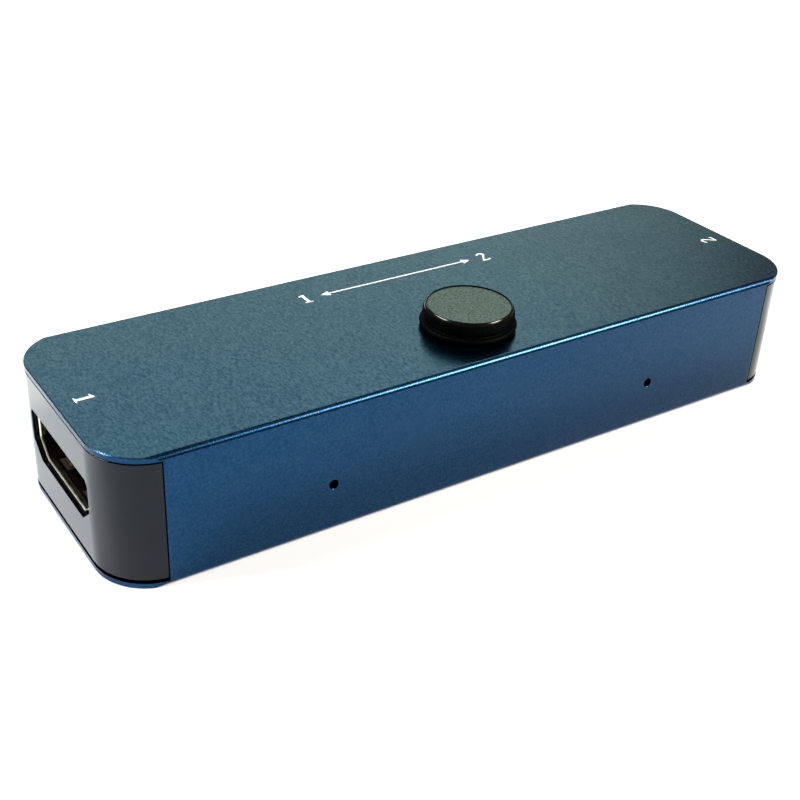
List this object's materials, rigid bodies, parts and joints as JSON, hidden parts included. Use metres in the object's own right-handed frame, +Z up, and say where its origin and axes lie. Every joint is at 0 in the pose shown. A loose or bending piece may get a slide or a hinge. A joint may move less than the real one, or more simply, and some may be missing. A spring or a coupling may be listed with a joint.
{
  "type": "video switch box",
  "caption": "Slim blue anodised video switch box with black end caps, a socket at each end and in the rear wall, and a round push button on top.",
  "frame": {"origin": "middle of the underside, on the surface that the box stands on", "axes": "+X along the length towards the right end, +Y from the lamp wall towards the rear socket, +Z up"},
  "size_m": [0.09, 0.0274, 0.0177],
  "materials": {
    "anodised_aluminium": "blue anodised over a fine bead blast, satin",
    "gloss_black_plastic": "moulded, polished black",
    "button_plastic": "black, fine matt disc in a polished rim, dull sides",
    "board_laminate": "green solder mask",
    "plated_shell": "stamped and plated",
    "socket_plastic": "moulded black",
    "gold_contacts": "gold plated",
    "switch_plastic": "moulded black",
    "tinned_metal": "tin plated",
    "spring_steel": "rolled spring steel",
    "lamp_resin": "smoked clear resin",
    "chip_epoxy": "moulded epoxy",
    "capacitor_ceramic": "fired ceramic"
  },
  "bodies": {
    "case": {"case_sleeve": "anodised_aluminium", "left_end_cap": "gloss_black_plastic", "right_end_cap": "gloss_black_plastic", "circuit_board": "board_laminate", "left_port_shell": "plated_shell", "right_port_shell": "plated_shell", "rear_port_shell": "plated_shell", "left_port_insulator": "socket_plastic", "right_port_insulator": "socket_plastic", "rear_port_insulator": "socket_plastic", "left_port_contacts": "gold_contacts", "right_port_contacts": "gold_contacts", "rear_port_contacts": "gold_contacts", "switch_base": "switch_plastic", "switch_terminals": "tinned_metal", "switch_cover": "tinned_metal", "mux_chip_pads": "tinned_metal", "control_chip_leads": "tinned_metal", "switch_dome": "spring_steel", "left_led": "lamp_resin", "right_led": "lamp_resin", "mux_chip": "chip_epoxy", "control_chip": "chip_epoxy", "surge_chips": "chip_epoxy", "resistors": "chip_epoxy", "capacitors": "capacitor_ceramic"},
    "button": {"button_cap": "button_plastic", "switch_stem": "switch_plastic"}
  },
  "joints": [
    {"name": "button_press", "type": "slide", "parent": "case", "child": "button", "axis": [0, 0, -1], "range_m": [0, 0.00025], "stiffness_N_per_m": 8000, "deforming": ["switch_dome"]}
  ]
}
